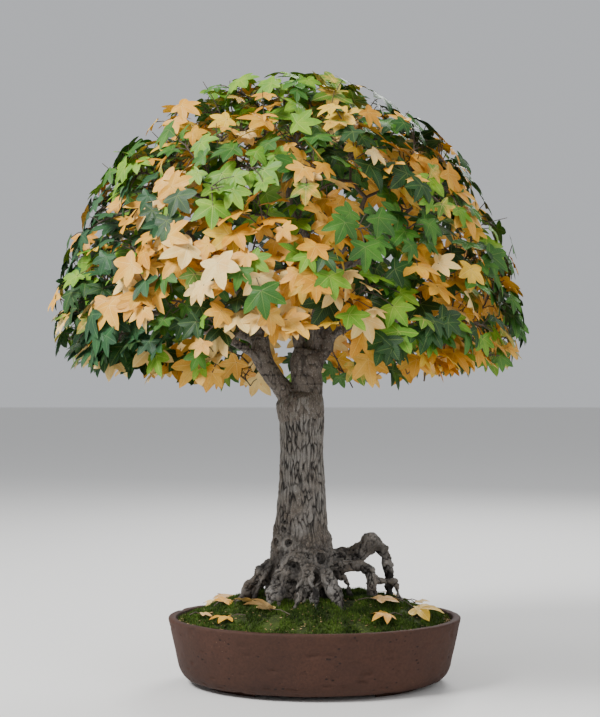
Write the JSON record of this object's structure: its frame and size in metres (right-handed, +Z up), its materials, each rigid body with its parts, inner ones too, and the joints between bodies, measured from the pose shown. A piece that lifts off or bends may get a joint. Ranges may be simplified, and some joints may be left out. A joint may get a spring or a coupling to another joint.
{
  "type": "bonsai sweetgum in a pot",
  "caption": "Small bonsai sweetgum tree in early autumn leaf, with a knobbly grey trunk and spreading roots, in a shallow oval clay pot.",
  "frame": {"origin": "on the ground under the middle of the whole part, at the underside of the pot's feet", "axes": "+Z up, +X to the right as seen from the front, -Y towards the front"},
  "size_m": [0.7028, 0.6218, 0.9054],
  "materials": {
    "clay": "matte",
    "moss_and_soil": "matte",
    "grey_bark": "matte",
    "dark_bark": "matte",
    "autumn_leaves": "matte",
    "green_leaves": "matte"
  },
  "bodies": {
    "root": {"pot": "clay", "soil_mound": "moss_and_soil", "trunk": "grey_bark", "centre_limb": "dark_bark", "left_bough": "dark_bark", "middle_riser": "dark_bark", "left_riser": "dark_bark", "right_riser": "dark_bark", "bough_low_front": "dark_bark", "bough_low_front_right": "dark_bark", "bough_low_right": "dark_bark", "bough_low_back_right": "dark_bark", "bough_low_back_left": "dark_bark", "bough_low_left": "dark_bark", "bough_low_front_left": "dark_bark", "bough_high_front_right": "dark_bark", "bough_high_right": "dark_bark", "bough_high_back": "dark_bark", "bough_high_left": "dark_bark", "bough_high_front_left": "dark_bark", "bough_top": "dark_bark", "foliage_low_front": "autumn_leaves", "foliage_low_front_right": "autumn_leaves", "foliage_low_right": "autumn_leaves", "foliage_low_back_right": "autumn_leaves", "foliage_low_back_left": "autumn_leaves", "foliage_low_left": "autumn_leaves", "foliage_low_front_left": "autumn_leaves", "foliage_high_front_right": "green_leaves", "foliage_high_right": "green_leaves", "foliage_high_back": "green_leaves", "foliage_high_left": "green_leaves", "foliage_high_front_left": "green_leaves", "foliage_top": "green_leaves"}
  },
  "joints": []
}
